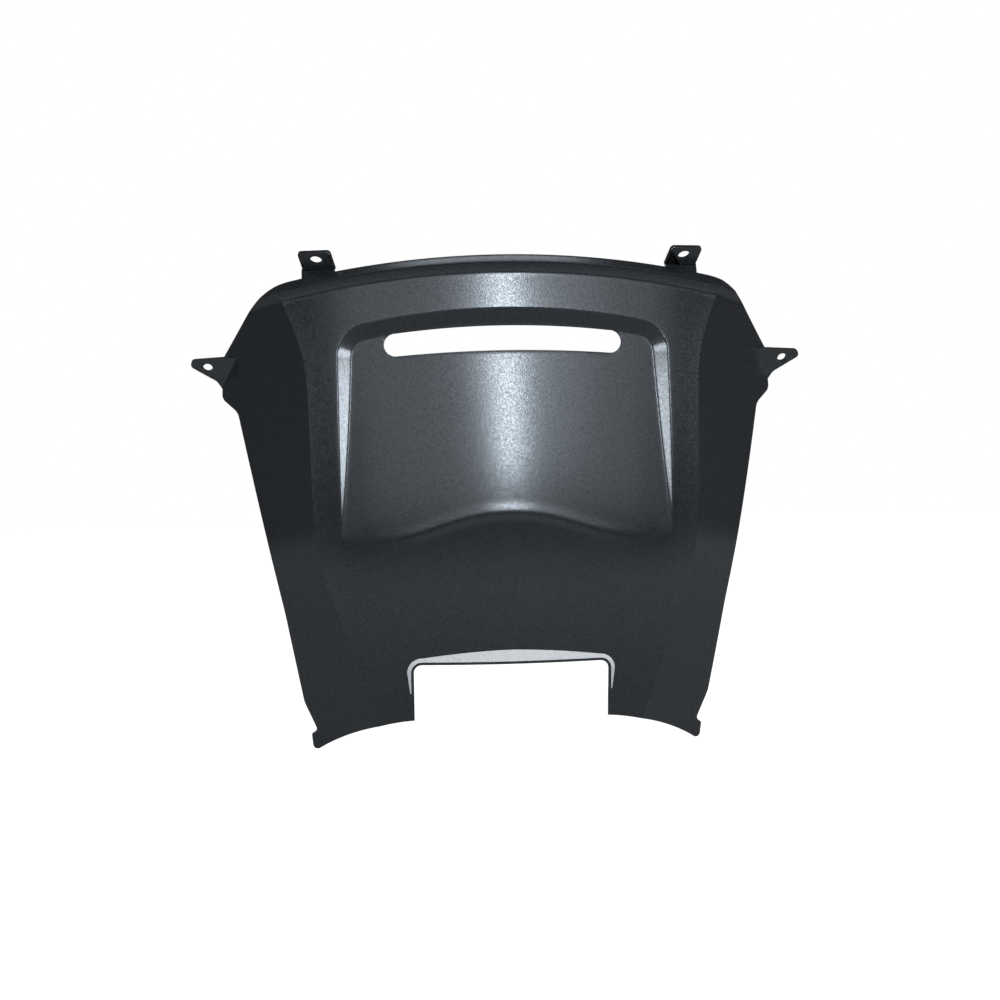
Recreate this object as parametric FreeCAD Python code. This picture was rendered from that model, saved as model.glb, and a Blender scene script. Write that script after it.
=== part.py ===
"""Scooter front panel: one injection-moulded plastic shell.

Frame while drawing: X to the right as seen from the front, Y away from the viewer, Z up, with the
belly point of the centre line (the crest under the recess) at the origin. The finished panel is then
moved so that its origin lies midway between the two screw holes in the top tabs. Millimetres, degrees.
"""
import FreeCAD
import Part
import math
import os
from FreeCAD import Vector

WALL = 2.5

# Outer form: a shallow double curve whose side wings turn back
CROWN_RADIUS = 420.0          # across the panel
PROFILE_RADIUS = 600.0        # down the centre line
PROFILE_CENTRE_Z = -15.0      # height where the centre line is upright
WING_ANGLE = 42.0             # how far the wings turn back at mid height
WING_TWIST = 0.05             # degrees more per millimetre up
WING_BEND_RADIUS = 9.0        # round of the character line between face and wing
FACE_HALF_WIDTH = 117.0       # where that bend starts, at mid height
FACE_WIDEN_Z = 95.0           # above this height the face widens
FACE_WIDEN = 0.45             # half-width gained per millimetre up
FACE_NARROW_Z = -25.0         # below this height it narrows
FACE_NARROW = 0.35            # half-width lost per millimetre down
FACE_EASE = 18.0              # softens both changes

# Outline, seen from the front
TOP_Z = 153.8
TOP_ARCH_RADIUS = 643.0
SHOULDER_RADIUS = 46.0
SIDE_UPPER = (154.2, 128.0)   # two points on the straight side above the ear
SIDE_LOWER = (175.6, 95.0)
SIDE_LOWER_RADIUS = 3.0
HIP = (176.0, 70.0)           # small step under the ear
HIP_RADIUS = 6.0
WAIST = (165.6, 61.0)
WAIST_RADIUS = 9.0
FLANK = (138.0, -64.0)
FLANK_RADIUS = 300.0
LOWER_CORNER = (127.6, -121.0)
LOWER_CORNER_RADIUS = 14.0
NECK = (119.6, -139.0)        # nick above the toe at each lower corner
NECK_RADIUS = 3.0
TOE_TOP = (123.6, -141.6)
TOE_TOP_RADIUS = 1.5
TOE_TIP = (122.6, -153.4)
TOE_TIP_RADIUS = 2.7
SKIRT_START = (114.8, -148.2)  # bottom edge, from the toe to the notch
SKIRT_MIDDLE = (92.0, -136.9)
SKIRT_END = (55.0, -129.6)

# Top lip: the edge stands forward of the face, with a cove below it
LIP_STEP = 6.0
LIP_HEIGHT = 5.0
LIP_COVE = 0.55 * LIP_STEP    # size of the cove, drawn as a bevel

# Recess under the brow: its walls fall away from a ridge drawn on the face, and its floor rises to meet
# the face again along the arched crest
RIDGE_HALF_WIDTH = 101.7
RIDGE_TOP_Z = 121.3
RIDGE_ARCH_RADIUS = 438.0
RIDGE_CORNER_RADIUS = 20.0
RIDGE_LOWEST_Z = -62.0
RIDGE_ROUND = 2.0
RECESS_SLOPE = 0.95           # depth of the walls gained per millimetre inward
RECESS_DEPTH = 8.7            # of the floor below the face, at full depth
RECESS_FOOT_Z = 108.0         # height where the floor reaches it
CREST_Z = -2.5                # floor and lower face meet here on the centre line
CREST_DROP = 34.0             # and this much lower at the side walls
CREST_SLOPE = 0.085           # floor slope at the crest on the centre line
CREST_SIDE_SLOPE = 0.083      # and at the side walls

# Slot at the foot of the brow
SLOT_HALF_WIDTH = 73.0
SLOT_TOP_Z = 110.7
SLOT_BOTTOM_Z = 95.4
SLOT_TOP_RADIUS = 571.0
SLOT_BOTTOM_RADIUS = 858.0
SLOT_END_RADIUS = 7.4

# Notch in the bottom edge and its flared lip
NOTCH_HALF_WIDTH = 59.5
NOTCH_TOP_Z = -95.0
NOTCH_CORNER_RADIUS = 5.0
NOTCH_LIP_MIDDLE = 7.0        # width of the lip at mid length
NOTCH_LIP_SIDE = 2.6          # and at the corners
NOTCH_LIP_END = 0.9           # and where it dies out on the sides
NOTCH_LIP_END_Z = -113.0
NOTCH_LIP_WALL = 2.0
NOTCH_LIP_FLARE = 0.55        # how far forward it comes for each millimetre of width

# Screw tabs on the top lip
TAB_X = 112.0
TAB_WIDTH = 20.8
TAB_BEND_Z = 148.0
TAB_LENGTH = 13.0
TAB_TILT = 50.0               # forward lean of the tab from upright
TAB_END_RADIUS = 2.5
TAB_HOLE_DIAMETER = 7.5
TAB_HOLE_FROM_BEND = 6.3

# Screw ears on the sides
EAR_HOLE_X = 184.4
EAR_HOLE_Z = 89.2
EAR_TILT = 22.0               # the ear looks this much downwards
EAR_FACE_Y = 77.0             # depth of its front face at the hole
EAR_WALL = 4.0
EAR_HOLE_DIAMETER = 6.5
EAR_BOSS_DIAMETER = 9.6
EAR_BOSS_LENGTH = 2.5
EAR_ROOT_X = 164.0            # hidden behind the wing
EAR_TOP = (194.8, 94.6)       # corners of the ear, seen from the front
EAR_TIP = (194.8, 90.2)
EAR_TIP_RADIUS = 2.8
EAR_LOW = (179.0, 80.2)
EAR_LOW_RADIUS = 6.0
EAR_HEEL = (174.6, 73.0)
EAR_ROOT_RADIUS = 0.5
EAR_TOP_SLOPE = 0.06          # its top edge rises this much towards the panel

# Construction solids reach well past the panel
REACH_X = 215.0
REACH_Z = 180.0
DEPTH = 130.0


def line(a, b):
    return Part.LineSegment(a, b).toShape()


def arc(a, b, c):
    return Part.Arc(a, b, c).toShape()


def at(x, z, y=0.0):
    return Vector(x, y, z)


def mirrored(p):
    return Vector(-p.x, p.y, p.z)


def eased(d, ease):
    """Zero for d well below zero, d well above it, with a soft change between."""
    return 0.5 * (d + math.sqrt(d * d + ease * ease))


def face_half_width(z):
    """Half-width of the face before it bends into the wings."""
    wider = FACE_WIDEN * eased(z - FACE_WIDEN_Z, FACE_EASE)
    narrower = FACE_NARROW * eased(FACE_NARROW_Z - z, FACE_EASE)
    return FACE_HALF_WIDTH + wider - narrower


def wing_angle(z):
    return math.radians(WING_ANGLE + WING_TWIST * z)


def crown_y(z):
    """Depth of the centre line."""
    rise = z - PROFILE_CENTRE_Z
    return PROFILE_RADIUS - math.sqrt(PROFILE_RADIUS**2 - rise**2)


def face_y(x, z):
    """Depth of the face, carried on past its bends."""
    return crown_y(z) + CROWN_RADIUS - math.sqrt(CROWN_RADIUS**2 - x**2)


def outer_y(x, z):
    """Depth of the outer form at a point of the front view."""
    x = abs(x)
    start = face_half_width(z)
    if x <= start:
        return face_y(x, z)
    lean = math.asin(start / CROWN_RADIUS)
    wing = wing_angle(z)
    inner = CROWN_RADIUS - WING_BEND_RADIUS
    bend_x = inner * math.sin(lean)
    bend_y = crown_y(z) + CROWN_RADIUS - inner * math.cos(lean)
    end_x = bend_x + WING_BEND_RADIUS * math.sin(wing)
    if x <= end_x:
        return bend_y - math.sqrt(WING_BEND_RADIUS**2 - (x - bend_x) ** 2)
    return bend_y - WING_BEND_RADIUS * math.cos(wing) + (x - end_x) * math.tan(wing)


def form_section(z, inset):
    """Closed wire of the outer form at one height, set back by inset."""
    lean = math.asin(face_half_width(z) / CROWN_RADIUS)
    wing = wing_angle(z)
    crown = Vector(0, crown_y(z) + CROWN_RADIUS, z)

    def around(centre, radius, angle):
        return centre + Vector(math.sin(angle), -math.cos(angle), 0) * radius

    bend = around(crown, CROWN_RADIUS - WING_BEND_RADIUS, lean)
    nose = around(crown, CROWN_RADIUS - inset, 0)
    face_end = around(crown, CROWN_RADIUS - inset, lean)
    bend_middle = around(bend, WING_BEND_RADIUS - inset, (lean + wing) / 2)
    bend_end = around(bend, WING_BEND_RADIUS - inset, wing)
    run = (REACH_X - bend_end.x) / math.cos(wing)
    tip = bend_end + Vector(math.cos(wing), math.sin(wing), 0) * run
    back = Vector(REACH_X, tip.y + DEPTH, z)
    return Part.Wire([
        arc(mirrored(face_end), nose, face_end),
        arc(face_end, bend_middle, bend_end),
        line(bend_end, tip),
        line(tip, back),
        line(back, mirrored(back)),
        line(mirrored(back), mirrored(tip)),
        line(mirrored(tip), mirrored(bend_end)),
        arc(mirrored(bend_end), mirrored(bend_middle), mirrored(face_end)),
    ])


def outer_form(inset):
    """Solid behind the outer form, set back by inset."""
    levels = [REACH_Z - step * REACH_Z / 5 for step in range(11)]
    return Part.makeLoft([form_section(z, inset) for z in levels], True, False)


def floor_y(x, z):
    """Depth of the recess floor, which crosses the face along the arched crest."""
    side = (x / RIDGE_HALF_WIDTH) ** 2
    slope = CREST_SLOPE + (CREST_SIDE_SLOPE - CREST_SLOPE) * side
    crest = CREST_Z - CREST_DROP * side
    rise = z - crest
    full = RECESS_FOOT_Z - crest
    bow = (RECESS_DEPTH - slope * full) / full**2
    below = slope * rise + (bow * rise**2 if rise > 0 else 0)
    return face_y(x, z) + below


def ridge_edges(growth):
    """Ridge seen from the front, from the left foot over the top to the right, grown by growth."""
    corner_x = RIDGE_HALF_WIDTH - RIDGE_CORNER_RADIUS
    span = RIDGE_ARCH_RADIUS - RIDGE_CORNER_RADIUS
    corner_z = RIDGE_TOP_Z - RIDGE_ARCH_RADIUS + math.sqrt(span**2 - corner_x**2)
    turn = math.asin(corner_x / span)
    radius = RIDGE_CORNER_RADIUS + growth

    def on_corner(angle):
        return at(corner_x + radius * math.sin(angle), corner_z + radius * math.cos(angle))

    foot = at(RIDGE_HALF_WIDTH + growth, RIDGE_LOWEST_Z)
    side, bend, shoulder = on_corner(math.pi / 2), on_corner((turn + math.pi / 2) / 2), on_corner(turn)
    return [
        line(mirrored(foot), mirrored(side)),
        arc(mirrored(side), mirrored(bend), mirrored(shoulder)),
        arc(mirrored(shoulder), at(0, RIDGE_TOP_Z + growth), shoulder),
        arc(shoulder, bend, side),
        line(side, foot),
    ]


def recess_walls(inset):
    """Everything behind the recess walls, which are drawn from outside the ridge to past their foot."""
    points = Part.Wire(ridge_edges(0)).discretize(Distance=6.0)
    rise = inset * math.hypot(1, RECESS_SLOPE)
    grid = []
    for before, point, after in zip(points, points[1:], points[2:]):
        along = (after - before).normalize()
        inward = at(along.z, -along.x)
        row = []
        for reach in (-4.5, 1.5, 7.5, 13.5):
            p = point + inward * reach
            row.append(Vector(p.x, face_y(p.x, p.z) + RECESS_SLOPE * reach + rise, p.z))
        grid.append(row)
    walls = Part.BSplineSurface()
    walls.interpolate(grid)
    return walls.toShape().extrude(Vector(0, DEPTH, 0))


def recess_floor(inset):
    """Everything behind the recess floor."""
    columns = [1.25 * RIDGE_HALF_WIDTH * (i / 9 - 1) for i in range(19)]
    rows = [RIDGE_LOWEST_Z - 18 + 20 * i for i in range(12)]
    grid = [[Vector(x, floor_y(x, z) + inset, z) for z in rows] for x in columns]
    floor = Part.BSplineSurface()
    floor.interpolate(grid)
    return floor.toShape().extrude(Vector(0, DEPTH, 0))


def edge_middle(edge):
    return edge.valueAt((edge.FirstParameter + edge.LastParameter) / 2)


def rounded_where(shape, radius, wanted):
    """Fillet the edges whose middle points are wanted."""
    return shape.makeFillet(radius, [e for e in shape.Edges if wanted(edge_middle(e))])


def bevelled_where(shape, size, wanted):
    """Chamfer the edges whose middle points are wanted."""
    return shape.makeChamfer(size, [e for e in shape.Edges if wanted(edge_middle(e))])


def prism(wire, front=-60.0, back=DEPTH + 60.0):
    """Solid along Y over a wire drawn at y = 0."""
    face = Part.Face(wire)
    face.translate(Vector(0, front, 0))
    return face.extrude(Vector(0, back - front, 0))


def recess_tool(inset):
    """Solid removed for the recess; inset makes the one for the back of the wall."""
    edges = ridge_edges(3.0)
    foot_left, foot_right = edges[0].Vertexes[0].Point, edges[-1].Vertexes[-1].Point
    well = prism(Part.Wire(edges + [line(foot_right, foot_left)]), back=DEPTH / 2)
    return well.cut([recess_walls(inset), recess_floor(inset)])


def above_arch(radius):
    """Everything above an arc that shares its centre with the top edge."""
    centre_z = TOP_Z - TOP_ARCH_RADIUS
    end_z = centre_z + math.sqrt(radius**2 - REACH_X**2)
    left, right = at(-REACH_X, end_z), at(REACH_X, end_z)
    high = REACH_Z + 20
    return prism(Part.Wire([
        arc(left, at(0, centre_z + radius), right),
        line(right, at(REACH_X, high)),
        line(at(REACH_X, high), at(-REACH_X, high)),
        line(at(-REACH_X, high), left),
    ]))


def shell_form(inset):
    """Outer form with recess and stepped lip; inset 0 is the front, WALL the back of the wall."""
    form = outer_form(inset)
    stepped = form.copy()
    stepped.translate(Vector(0, -LIP_STEP, 0))
    lip_radius = TOP_ARCH_RADIUS - LIP_HEIGHT + inset
    lip = stepped.common(above_arch(lip_radius))

    def on_brow(m):
        middle_z = RIDGE_TOP_Z - RIDGE_CORNER_RADIUS / 2
        on_face = abs(m.y - inset - face_y(m.x, m.z)) < 1.0
        return on_face and abs(m.z - middle_z) < RIDGE_CORNER_RADIUS and abs(m.x) < RIDGE_HALF_WIDTH

    def under_lip(m):
        below_lip = abs(math.hypot(m.x, m.z - TOP_Z + TOP_ARCH_RADIUS) - lip_radius) < 0.05
        return below_lip and abs(m.x) < 1.0 and m.y > crown_y(m.z) + inset - LIP_STEP / 2

    dished = rounded_where(form.cut(recess_tool(inset)), RIDGE_ROUND, on_brow)
    return bevelled_where(dished.fuse(lip), LIP_COVE - 0.3 * inset, under_lip)


def rounded(points):
    """Edges through corner points (x, z, radius), each corner rounded by its radius."""
    edges = []
    start = None
    for i in range(1, len(points) - 1):
        before, corner, after = (at(p[0], p[1]) for p in points[i - 1:i + 2])
        if start is None:
            start = before
        back = (before - corner).normalize()
        on = (after - corner).normalize()
        half = math.acos(max(-1.0, min(1.0, back.dot(on)))) / 2
        reach = points[i][2] / math.tan(half)
        inner = (back + on).normalize() * (points[i][2] / math.sin(half))
        middle = corner + inner - (back + on).normalize() * points[i][2]
        first, last = corner + back * reach, corner + on * reach
        edges += [line(start, first), arc(first, middle, last)]
        start = last
    end = points[-1]
    return edges + [line(start, at(end[0], end[1]))]


def mirrored_edges(edges):
    return [e.mirror(Vector(0, 0, 0), Vector(1, 0, 0)) for e in edges]


def outline():
    """Front view of the whole panel without ears: lip arch, shoulders, sides, toes and skirt."""
    arch = at(0, TOP_Z - TOP_ARCH_RADIUS)
    upper, lower = at(*SIDE_UPPER), at(*SIDE_LOWER)
    down = (lower - upper).normalize()
    inward = at(down.z, -down.x)
    offset = upper + inward * SHOULDER_RADIUS - arch
    along = offset.dot(down)
    span = TOP_ARCH_RADIUS - SHOULDER_RADIUS
    travel = -along - math.sqrt(along**2 - offset.dot(offset) + span**2)
    centre = arch + offset + down * travel
    on_side = centre - inward * SHOULDER_RADIUS
    out = (centre - arch).normalize()
    on_arch = arch + out * TOP_ARCH_RADIUS
    between = centre + (out - inward).normalize() * SHOULDER_RADIUS
    side = [arc(on_arch, between, on_side)] + rounded([
        (on_side.x, on_side.z),
        (*SIDE_LOWER, SIDE_LOWER_RADIUS),
        (*HIP, HIP_RADIUS),
        (*WAIST, WAIST_RADIUS),
        (*FLANK, FLANK_RADIUS),
        (*LOWER_CORNER, LOWER_CORNER_RADIUS),
        (*NECK, NECK_RADIUS),
        (*TOE_TOP, TOE_TOP_RADIUS),
        (*TOE_TIP, TOE_TIP_RADIUS),
        SKIRT_START,
    ]) + [arc(at(*SKIRT_START), at(*SKIRT_MIDDLE), at(*SKIRT_END))]
    top = arc(mirrored(on_arch), at(0, TOP_Z), on_arch)
    bottom = line(at(*SKIRT_END), mirrored(at(*SKIRT_END)))
    face = prism(Part.Wire([top] + side + [bottom] + mirrored_edges(side)[::-1]))
    pads = []
    for hand in (-1, 1):
        left, right = hand * TAB_X - TAB_WIDTH / 2, hand * TAB_X + TAB_WIDTH / 2
        low = TAB_BEND_Z - TAB_LENGTH
        pads.append(prism(Part.makePolygon([
            at(left, low), at(right, low), at(right, TAB_BEND_Z), at(left, TAB_BEND_Z), at(left, low),
        ])))
    return face.multiFuse(pads).removeSplitter()


def slot():
    """Prism through the recess floor at the foot of the brow."""
    def arc_z(x, z, radius):
        return z - radius + math.sqrt(radius**2 - x**2)

    end = SLOT_HALF_WIDTH
    near = end - SLOT_END_RADIUS
    top_end = at(near, arc_z(near, SLOT_TOP_Z, SLOT_TOP_RADIUS))
    low_end = at(near, arc_z(near, SLOT_BOTTOM_Z, SLOT_BOTTOM_RADIUS))
    tip = at(end, (top_end.z + low_end.z) / 2)
    return prism(Part.Wire([
        arc(mirrored(top_end), at(0, SLOT_TOP_Z), top_end),
        arc(top_end, tip, low_end),
        arc(low_end, at(0, SLOT_BOTTOM_Z), mirrored(low_end)),
        arc(mirrored(low_end), mirrored(tip), mirrored(top_end)),
    ]))


def notch_stations():
    """Points round the notch with outward direction, lip width and how far the wall is cut back."""
    half, corner, top = NOTCH_HALF_WIDTH, NOTCH_CORNER_RADIUS, NOTCH_TOP_Z
    flat = half - corner
    stations = []
    for share in (0.0, 0.35, 0.7, 1.0):
        width = NOTCH_LIP_SIDE + (NOTCH_LIP_MIDDLE - NOTCH_LIP_SIDE) * (1 - share**2)
        stations.append((at(flat * share, top), at(0, 1), width, 1.0))
    turn = at(math.sin(math.pi / 4), math.cos(math.pi / 4))
    stations.append((at(flat, top - corner) + turn * corner, turn, NOTCH_LIP_SIDE, 1.0))
    for share in (0.0, 0.5, 1.0):
        z = top - corner + share * (NOTCH_LIP_END_Z - top + corner)
        width = NOTCH_LIP_SIDE + share * (NOTCH_LIP_END - NOTCH_LIP_SIDE)
        stations.append((at(half, z), at(1, 0), width, 1.0 - share))
    left = [(mirrored(p), mirrored(n), w, c) for p, n, w, c in stations[:0:-1]]
    return left + stations


def notch():
    """Prism that opens the wall behind the notch lip."""
    slant = NOTCH_LIP_WALL / math.sqrt(2)
    points = [p + n * (slant + 0.8 * w) * c for p, n, w, c in notch_stations()]
    rim = Part.BSplineCurve()
    rim.interpolate(points)
    low_left, low_right = at(points[0].x, -REACH_Z), at(points[-1].x, -REACH_Z)
    return prism(Part.Wire([
        rim.toShape(),
        line(points[-1], low_right),
        line(low_right, low_left),
        line(low_left, points[0]),
    ]))


def notch_lip():
    """Flared lip, lofted round the notch."""
    slant = NOTCH_LIP_WALL / math.sqrt(2)
    root = 1.5
    sections = []
    for p, n, width, cut in notch_stations():
        edge = p + n * slant
        base = edge + n * width
        forward = outer_y(base.x, base.z) - width * NOTCH_LIP_FLARE
        free_front = edge + Vector(0, forward, 0)
        root_front = free_front + (n + Vector(0, NOTCH_LIP_FLARE, 0)) * (width + root)
        inward = (Vector(0, 1, 0) - n) * slant
        corners = [root_front, free_front, free_front + inward, root_front + inward]
        sections.append(Part.makePolygon(corners + corners[:1]))
    return Part.makeLoft(sections, True, False)


def tab_frame(hand):
    """Bend point of one tab with its directions along the bend, up the tab and out of its underside."""
    plan = math.asin(TAB_X / CROWN_RADIUS)
    tilt = math.radians(TAB_TILT)
    bend = Vector(hand * TAB_X, outer_y(TAB_X, TAB_BEND_Z) - LIP_STEP, TAB_BEND_Z)
    along = Vector(hand * math.cos(plan), math.sin(plan), 0)
    forward = Vector(hand * math.sin(plan), -math.cos(plan), 0)
    rise = forward * math.sin(tilt) + Vector(0, 0, math.cos(tilt))
    under = forward * math.cos(tilt) - Vector(0, 0, math.sin(tilt))
    return bend, along, rise, under


def tab_hole_centre(hand):
    bend, along, rise, under = tab_frame(hand)
    return bend + rise * TAB_HOLE_FROM_BEND - under * (WALL / 2)


def tab(hand):
    bend, along, rise, under = tab_frame(hand)
    half, radius, root = TAB_WIDTH / 2, TAB_END_RADIUS, 2.0

    def point(a, u):
        return bend + along * a + rise * u

    turn = radius * (1 - math.sqrt(0.5))
    wire = Part.Wire([
        line(point(-half, -root), point(half, -root)),
        line(point(half, -root), point(half, TAB_LENGTH - radius)),
        arc(point(half, TAB_LENGTH - radius), point(half - turn, TAB_LENGTH - turn),
            point(half - radius, TAB_LENGTH)),
        line(point(half - radius, TAB_LENGTH), point(radius - half, TAB_LENGTH)),
        arc(point(radius - half, TAB_LENGTH), point(turn - half, TAB_LENGTH - turn),
            point(-half, TAB_LENGTH - radius)),
        line(point(-half, TAB_LENGTH - radius), point(-half, -root)),
    ])
    return Part.Face(wire).extrude(under * -WALL)


def tab_hole(hand):
    tilt = math.radians(TAB_TILT)
    axis = Vector(0, math.cos(tilt), math.sin(tilt))
    start = tab_hole_centre(hand) - axis * 9
    return Part.makeCylinder(TAB_HOLE_DIAMETER / 2, 18, start, axis)


def ear_axis():
    tilt = math.radians(EAR_TILT)
    return Vector(0, math.cos(tilt), math.sin(tilt))


def ear(hand):
    """Flat ear with a boss behind it; the screw runs along ear_axis."""
    axis = ear_axis()
    shape = rounded([
        (EAR_ROOT_X, EAR_HOLE_Z),
        (EAR_ROOT_X, EAR_TOP[1] + EAR_TOP_SLOPE * (EAR_TOP[0] - EAR_ROOT_X), EAR_ROOT_RADIUS),
        (*EAR_TOP, EAR_TIP_RADIUS),
        (*EAR_TIP, EAR_TIP_RADIUS),
        (*EAR_LOW, EAR_LOW_RADIUS),
        (*EAR_HEEL, EAR_ROOT_RADIUS),
        (EAR_ROOT_X, EAR_HEEL[1], EAR_ROOT_RADIUS),
        (EAR_ROOT_X, EAR_HOLE_Z),
    ])
    drawn = Part.Wire(shape)
    drawn.translate(Vector(-EAR_HOLE_X, 0, -EAR_HOLE_Z))
    flat = Part.Face(drawn)
    flat.rotate(Vector(0, 0, 0), Vector(1, 0, 0), EAR_TILT)
    plate = flat.extrude(axis * EAR_WALL)
    boss = Part.makeCylinder(EAR_BOSS_DIAMETER / 2, EAR_WALL + EAR_BOSS_LENGTH, Vector(0, 0, 0), axis)
    both = plate.fuse(boss).removeSplitter()
    both.translate(Vector(EAR_HOLE_X, EAR_FACE_Y, EAR_HOLE_Z))
    return both if hand > 0 else both.mirror(Vector(0, 0, 0), Vector(1, 0, 0))


def ear_hole(hand):
    axis = ear_axis()
    face = Vector(hand * EAR_HOLE_X, EAR_FACE_Y, EAR_HOLE_Z)
    return Part.makeCylinder(EAR_HOLE_DIAMETER / 2, 30, face - axis * 8, axis)


def front_panel():
    skin = shell_form(0).common(outline()).cut(shell_form(WALL)).cut([slot(), notch()])
    body = skin.multiFuse([notch_lip(), tab(-1), tab(1), ear(-1), ear(1)])
    solid = body.cut([tab_hole(-1), tab_hole(1), ear_hole(-1), ear_hole(1)]).removeSplitter().Solids[0]
    solid.translate((tab_hole_centre(-1) + tab_hole_centre(1)) * -0.5)
    return solid


os.makedirs("parts", exist_ok=True)
panel = front_panel()
panel.exportStep("parts/front_panel.step")
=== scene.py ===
import math

import bmesh
import bpy
import numpy as np
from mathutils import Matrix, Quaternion, Vector
from mathutils.geometry import delaunay_2d_cdt
from mathutils.kdtree import KDTree


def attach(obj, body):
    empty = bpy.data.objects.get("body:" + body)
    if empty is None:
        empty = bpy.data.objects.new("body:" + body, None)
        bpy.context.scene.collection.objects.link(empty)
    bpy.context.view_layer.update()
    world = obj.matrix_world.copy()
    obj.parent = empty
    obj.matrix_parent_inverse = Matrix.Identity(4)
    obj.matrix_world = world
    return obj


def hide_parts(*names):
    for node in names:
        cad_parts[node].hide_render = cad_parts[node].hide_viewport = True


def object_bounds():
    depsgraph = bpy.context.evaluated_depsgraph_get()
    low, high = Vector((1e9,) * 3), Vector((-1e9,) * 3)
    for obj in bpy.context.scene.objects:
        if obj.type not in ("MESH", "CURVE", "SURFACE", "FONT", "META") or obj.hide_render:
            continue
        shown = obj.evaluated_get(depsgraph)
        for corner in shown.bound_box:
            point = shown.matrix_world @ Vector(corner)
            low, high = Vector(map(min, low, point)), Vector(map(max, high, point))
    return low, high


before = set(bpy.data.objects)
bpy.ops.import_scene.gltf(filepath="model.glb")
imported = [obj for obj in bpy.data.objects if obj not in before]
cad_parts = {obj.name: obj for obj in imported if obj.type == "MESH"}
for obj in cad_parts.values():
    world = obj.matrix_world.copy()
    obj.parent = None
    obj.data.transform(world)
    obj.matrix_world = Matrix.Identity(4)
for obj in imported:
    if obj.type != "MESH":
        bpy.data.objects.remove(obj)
cad_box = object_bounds()

# Sizes of the panel in millimetres and degrees, with the belly point of its centre line at the origin:
# X to the right as seen from the front, Y away from the viewer, Z up
MM = 0.001
WALL = 2.5

CROWN_RADIUS = 420.0
PROFILE_RADIUS = 600.0
PROFILE_CENTRE_Z = -15.0
WING_ANGLE = 42.0
WING_TWIST = 0.05
WING_BEND_RADIUS = 9.0
FACE_HALF_WIDTH = 117.0
FACE_WIDEN_Z = 95.0
FACE_WIDEN = 0.45
FACE_NARROW_Z = -25.0
FACE_NARROW = 0.35
FACE_EASE = 18.0

TOP_Z = 153.8
TOP_ARCH_RADIUS = 643.0
SHOULDER_RADIUS = 46.0
SIDE_UPPER = (154.2, 128.0)
SIDE_LOWER = (175.6, 95.0)
SIDE_LOWER_RADIUS = 3.0
HIP = (176.0, 70.0)
HIP_RADIUS = 6.0
WAIST = (165.6, 61.0)
WAIST_RADIUS = 9.0
FLANK = (138.0, -64.0)
FLANK_RADIUS = 300.0
LOWER_CORNER = (127.6, -121.0)
LOWER_CORNER_RADIUS = 14.0
NECK = (119.6, -139.0)
NECK_RADIUS = 3.0
TOE_TOP = (123.6, -141.6)
TOE_TOP_RADIUS = 1.5
TOE_TIP = (122.6, -153.4)
TOE_TIP_RADIUS = 2.7
SKIRT_START = (114.8, -148.2)
SKIRT_MIDDLE = (92.0, -136.9)
SKIRT_END = (55.0, -129.6)

LIP_STEP = 6.0
LIP_HEIGHT = 5.0
LIP_LEAN = 0.23               # how far its face leans back, per millimetre up
LIP_COVE_HEIGHT = 8.0
LIP_COVE_SHARE = 0.85         # how much of the step the cove takes up

RIDGE_HALF_WIDTH = 101.7
RIDGE_TOP_Z = 121.3
RIDGE_ARCH_RADIUS = 438.0
RIDGE_CORNER_RADIUS = 20.0
RIDGE_LOWEST_Z = -45.0
RECESS_SLOPE = 0.95
RECESS_DEPTH = 8.7
RECESS_FOOT_Z = 108.0
CREST_Z = -2.5
CREST_DROP = 17.5
CREST_SPREAD = 52.0           # half width of its bell-shaped rise
CREST_POWER = 2.5             # the higher, the flatter its top
CREST_SLOPE = 0.085
CREST_SIDE_SLOPE = 0.11

SLOT_HALF_WIDTH = 73.0
SLOT_TOP_Z = 110.7
SLOT_BOTTOM_Z = 95.4
SLOT_TOP_RADIUS = 571.0
SLOT_BOTTOM_RADIUS = 858.0
SLOT_END_RADIUS = 7.4

NOTCH_HALF_WIDTH = 59.5
NOTCH_TOP_Z = -95.0
NOTCH_CORNER_RADIUS = 5.0
NOTCH_LIP_MIDDLE = 7.0
NOTCH_LIP_SIDE = 2.6
NOTCH_LIP_END = 0.9
NOTCH_LIP_END_Z = -113.0
NOTCH_LIP_WALL = 2.0
NOTCH_LIP_FLARE = 0.55
NOTCH_LIP_POWER = 1.7         # how its width falls from the middle to the corners
NOTCH_LIP_ROOT = 1.5          # how far it runs into the wall
NOTCH_LIP_SOFT = 0.35         # its free edge is softened this far back on the front
NOTCH_LIP_NOSE = 0.25         # and by this share of its thickness
NOTCH_CUT_BACK = 0.8          # share of its width by which the wall is cut back

TAB_X = 112.0
TAB_WIDTH = 20.8
TAB_BEND_Z = 148.0
TAB_LENGTH = 13.0
TAB_TILT = 50.0
TAB_END_RADIUS = 2.5
TAB_HOLE_DIAMETER = 7.5
TAB_HOLE_FROM_BEND = 6.3
TAB_ROOT = 2.0                # how far it runs into the lip
TAB_ROOT_RADIUS = 0.05
TAB_EDGE_ROUND = 0.45

EAR_HOLE_X = 184.4
EAR_HOLE_Z = 89.2
EAR_TILT = 22.0
EAR_FACE_Y = 77.0
EAR_WALL = 4.0
EAR_HOLE_DIAMETER = 6.5
EAR_BOSS_DIAMETER = 9.6
EAR_BOSS_LENGTH = 2.5
EAR_ROOT_X = 164.0
EAR_TOP = (194.8, 94.6)
EAR_TIP = (194.8, 90.2)
EAR_TIP_RADIUS = 2.8
EAR_LOW = (179.0, 80.2)
EAR_LOW_RADIUS = 6.0
EAR_HEEL = (174.6, 73.0)
EAR_ROOT_RADIUS = 0.5
EAR_TOP_SLOPE = 0.06
EAR_EDGE_ROUND = 0.5
EAR_BOSS_ROOT = 0.8           # where the boss starts behind the front of the ear

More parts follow.
